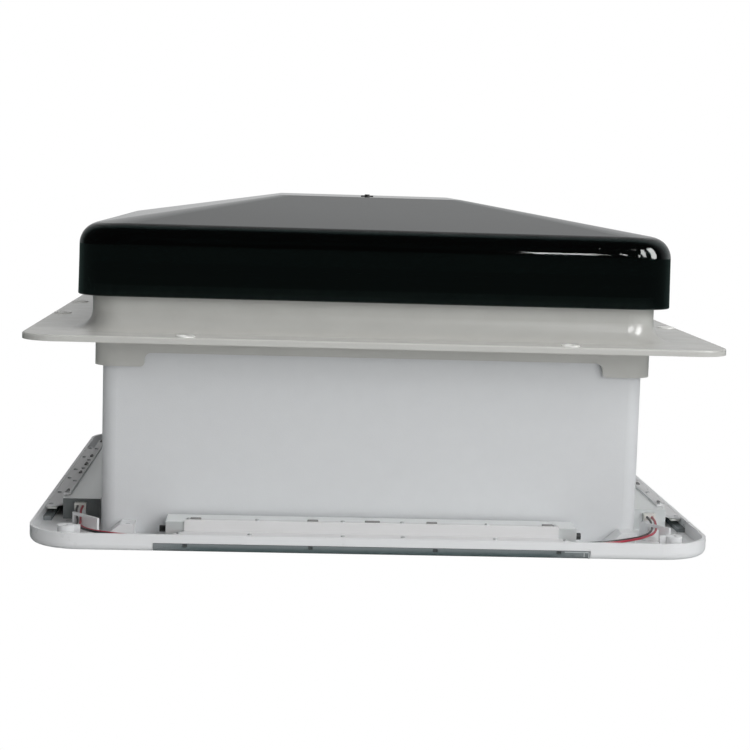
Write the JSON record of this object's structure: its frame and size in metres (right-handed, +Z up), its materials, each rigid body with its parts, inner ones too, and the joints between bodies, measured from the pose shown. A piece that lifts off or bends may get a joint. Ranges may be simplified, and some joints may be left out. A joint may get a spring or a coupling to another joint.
{
  "type": "caravan roof vent",
  "caption": "Square caravan roof vent: smoked tilting dome on rear hinges with a lifting bow, flanged roof frame, duct, and a ceiling frame with lights, flyscreen and blackout blind.",
  "frame": {"origin": "centre of the vent's plan, at the ceiling frame's cabin face, on which it stands", "axes": "+Z up through the roof, +Y to the hinged rear, +X to the right seen from the opening side"},
  "size_m": [0.492, 0.492, 0.2475],
  "materials": {
    "roof_abs": "glossy moulded ABS, warm white",
    "seal_rubber": "soft black rubber",
    "smoked_acrylic": "highly polished smoked acrylic, near black",
    "clear_acrylic": "polished clear acrylic",
    "plug_rubber": "black rubber plug",
    "duct_abs": "fine satin white ABS",
    "ceiling_abs": "semi gloss white ABS",
    "cover_abs": "satin white ABS",
    "channel_aluminium": "mill finish folded aluminium sheet",
    "light_lens": "translucent grey-green moulded lens",
    "board": "white solder mask",
    "diode": "yellow phosphor",
    "dark_clip": "dark moulded clip",
    "plug_nylon": "natural white nylon",
    "black_sleeve": "shrunk black sleeve",
    "lead_red": "smooth red insulation",
    "lead_black": "smooth black insulation",
    "screw_steel": "zinc plated steel",
    "hinge_nylon": "black glass filled nylon",
    "pin_steel": "drawn stainless steel",
    "bow_nylon": "grey glass filled nylon",
    "rail_nylon": "light grey nylon",
    "grip_rubber": "dark grey soft grip",
    "foot_nylon": "natural nylon",
    "screen_fabric": "pleated glass fibre mesh, dark grey",
    "blackout_fabric": "pleated blackout cloth, silver grey",
    "bar_abs": "satin white ABS"
  },
  "bodies": {
    "base": {"blackout_blind": "blackout_fabric", "blind_frame": "duct_abs", "blind_frame_screws": "screw_steel", "bow_rail_left": "rail_nylon", "bow_rail_right": "rail_nylon", "ceiling_frame": "ceiling_abs", "cover_screws": "screw_steel", "dome_seal": "seal_rubber", "duct": "duct_abs", "duct_screws": "screw_steel", "flyscreen": "screen_fabric", "hinge_base_left": "hinge_nylon", "hinge_base_right": "hinge_nylon", "hinge_base_screws": "screw_steel", "hinge_pin_left": "pin_steel", "hinge_pin_right": "pin_steel", "lead_black_front_left": "lead_black", "lead_black_front_right": "lead_black", "lead_black_rear_left": "lead_black", "lead_guides": "ceiling_abs", "lead_plugs": "plug_nylon", "lead_red_front_left": "lead_red", "lead_red_front_right": "lead_red", "lead_red_rear_left": "lead_red", "lead_sleeves": "black_sleeve", "lens_clips": "dark_clip", "light_board_front": "board", "light_board_left": "board", "light_board_rear": "board", "light_board_right": "board", "light_channel_front": "channel_aluminium", "light_channel_left": "channel_aluminium", "light_channel_rear": "channel_aluminium", "light_channel_right": "channel_aluminium", "light_cover_front": "cover_abs", "light_cover_left": "cover_abs", "light_cover_rear": "cover_abs", "light_cover_right": "cover_abs", "light_diodes": "diode", "light_lens_front": "light_lens", "light_lens_left": "light_lens", "light_lens_rear": "light_lens", "light_lens_right": "light_lens", "rail_screws": "screw_steel", "roof_frame": "roof_abs"},
    "dome": {"dome_shell": "smoked_acrylic", "dome_pane": "clear_acrylic", "breather_plug": "plug_rubber", "hinge_leaf_left": "hinge_nylon", "hinge_leaf_right": "hinge_nylon", "leaf_screws": "screw_steel", "bow_bracket_left": "bow_nylon", "bow_bracket_right": "bow_nylon", "bracket_screws": "screw_steel", "pivot_pins": "pin_steel"},
    "bow": {"lifting_bow": "bow_nylon", "bow_grip": "grip_rubber", "bow_feet": "foot_nylon"},
    "screen_bar": {"flyscreen_bar": "bar_abs"},
    "blind_bar": {"blackout_bar": "bar_abs"}
  },
  "joints": [
    {"name": "dome_tilt", "type": "hinge", "parent": "base", "child": "dome", "pos_m": [0, 0.22, 0.165], "axis": [-1, 0, 0], "range_deg": [0, 45]},
    {"name": "bow_pivot", "type": "hinge", "parent": "dome", "child": "bow", "pos_m": [0, 0.0275, 0.165], "axis": [-1, 0, 0], "range_deg": [-92, 0]},
    {"name": "screen_slide", "type": "slide", "parent": "base", "child": "screen_bar", "axis": [0, 1, 0], "range_m": [-0.29, 0], "deforming": ["flyscreen"]},
    {"name": "blind_slide", "type": "slide", "parent": "base", "child": "blind_bar", "axis": [0, 1, 0], "range_m": [0, 0.29], "deforming": ["blackout_blind"]}
  ],
  "couplings": [
    {"joint": "bow_pivot", "follows": "dome_tilt", "ratio": -2}
  ]
}
